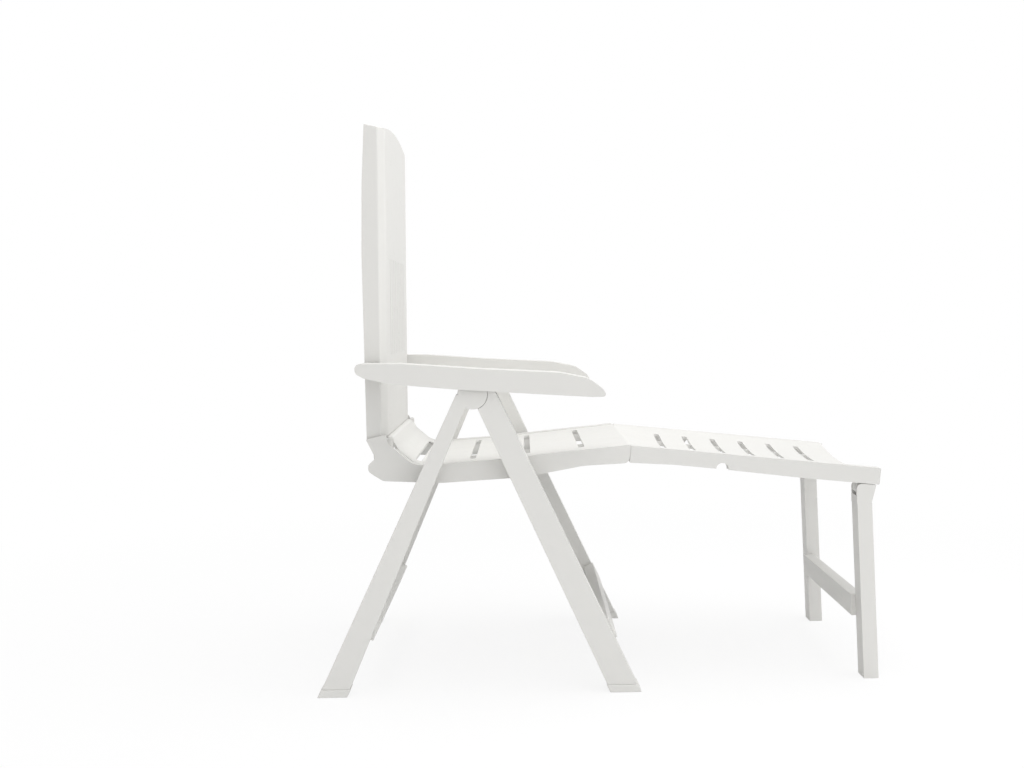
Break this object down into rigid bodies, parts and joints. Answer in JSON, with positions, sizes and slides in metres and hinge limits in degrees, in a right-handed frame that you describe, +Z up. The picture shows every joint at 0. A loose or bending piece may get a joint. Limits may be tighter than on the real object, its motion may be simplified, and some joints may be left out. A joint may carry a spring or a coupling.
{
  "type": "sun lounger",
  "caption": "Folding plastic sun lounger with a reclining slotted back, notched armrests, slotted seat and a footrest on folding legs.",
  "frame": {"origin": "centre of the plan on the floor", "axes": "+X from the backrest to the footrest, +Y to the left of a person who sits in it, +Z up"},
  "size_m": [1.0803, 0.626, 1.0992],
  "materials": {
    "moulded_plastic": "fine satin moulded surface",
    "plain_plastic": "plain moulded surface"
  },
  "bodies": {
    "front_legs": {"front_leg_right": "moulded_plastic", "front_leg_left": "moulded_plastic", "front_crossbar": "moulded_plastic", "front_foot_cap_right": "plain_plastic", "front_foot_cap_left": "plain_plastic", "leg_pivot_pin_right": "plain_plastic", "leg_pivot_pin_left": "plain_plastic", "seat_pivot_pin_right": "plain_plastic", "seat_pivot_pin_left": "plain_plastic", "seat_spacer_right": "plain_plastic", "seat_spacer_left": "plain_plastic"},
    "rear_legs": {"rear_leg_right": "moulded_plastic", "rear_leg_left": "moulded_plastic", "rear_crossbar": "moulded_plastic", "rear_foot_cap_right": "plain_plastic", "rear_foot_cap_left": "plain_plastic"},
    "seat": {"seat": "moulded_plastic", "footrest_hinge_pin_right": "plain_plastic", "footrest_hinge_pin_left": "plain_plastic"},
    "back_hinge": {"back_hinge_pin_right": "plain_plastic", "back_hinge_pin_left": "plain_plastic"},
    "backrest": {"backrest": "moulded_plastic"},
    "armrest_hinge_right": {"armrest_pin_right": "plain_plastic"},
    "armrest_hinge_left": {"armrest_pin_left": "plain_plastic"},
    "armrest_right": {"armrest_right": "moulded_plastic"},
    "armrest_left": {"armrest_left": "moulded_plastic"},
    "footrest": {"footrest": "moulded_plastic", "footrest_leg_pin_right": "plain_plastic", "footrest_leg_pin_left": "plain_plastic"},
    "footrest_legs": {"footrest_leg_right": "moulded_plastic", "footrest_leg_left": "moulded_plastic", "footrest_crossbar": "moulded_plastic"}
  },
  "joints": [
    {"name": "seat_fold", "type": "hinge", "parent": "front_legs", "child": "seat", "pos_m": [-0.14312, 0, 0.412], "axis": [0, 1, 0], "range_deg": [0, 50]},
    {"name": "rear_legs_close", "type": "hinge", "parent": "front_legs", "child": "rear_legs", "pos_m": [-0.23383, 0, 0.567], "axis": [0, -1, 0], "range_deg": [0, 43]},
    {"name": "back_fold", "type": "hinge", "parent": "seat", "child": "back_hinge", "pos_m": [-0.41012, 0, 0.424], "axis": [0, -1, 0], "range_deg": [0, 75]},
    {"name": "recline", "type": "hinge", "parent": "back_hinge", "child": "backrest", "pos_m": [-0.41012, 0, 0.424], "axis": [0, -1, 0], "range_deg": [0, 42]},
    {"name": "armrest_follow_right", "type": "hinge", "parent": "backrest", "child": "armrest_hinge_right", "pos_m": [-0.42212, 0, 0.608], "axis": [0, -1, 0], "range_deg": [-32, 0]},
    {"name": "armrest_follow_left", "type": "hinge", "parent": "backrest", "child": "armrest_hinge_left", "pos_m": [-0.42212, 0, 0.608], "axis": [0, -1, 0], "range_deg": [-32, 0]},
    {"name": "armrest_lift_right", "type": "hinge", "parent": "armrest_hinge_right", "child": "armrest_right", "pos_m": [-0.42212, 0, 0.608], "axis": [0, -1, 0], "range_deg": [0, 75]},
    {"name": "armrest_lift_left", "type": "hinge", "parent": "armrest_hinge_left", "child": "armrest_left", "pos_m": [-0.42212, 0, 0.608], "axis": [0, -1, 0], "range_deg": [0, 75]},
    {"name": "footrest_fold", "type": "hinge", "parent": "seat", "child": "footrest", "pos_m": [0.04988, 0, 0.438], "axis": [0, 1, 0], "range_deg": [0, 75]},
    {"name": "footrest_leg_fold", "type": "hinge", "parent": "footrest", "child": "footrest_legs", "pos_m": [0.50419, 0, 0.36571], "axis": [0, 1, 0], "range_deg": [0, 95]}
  ],
  "couplings": [
    {"joint": "rear_legs_close", "follows": "seat_fold", "ratio": 0.86},
    {"joint": "back_fold", "follows": "seat_fold", "ratio": 1.5},
    {"joint": "armrest_follow_right", "follows": "recline", "ratio": -0.76},
    {"joint": "armrest_follow_left", "follows": "recline", "ratio": -0.76}
  ]
}
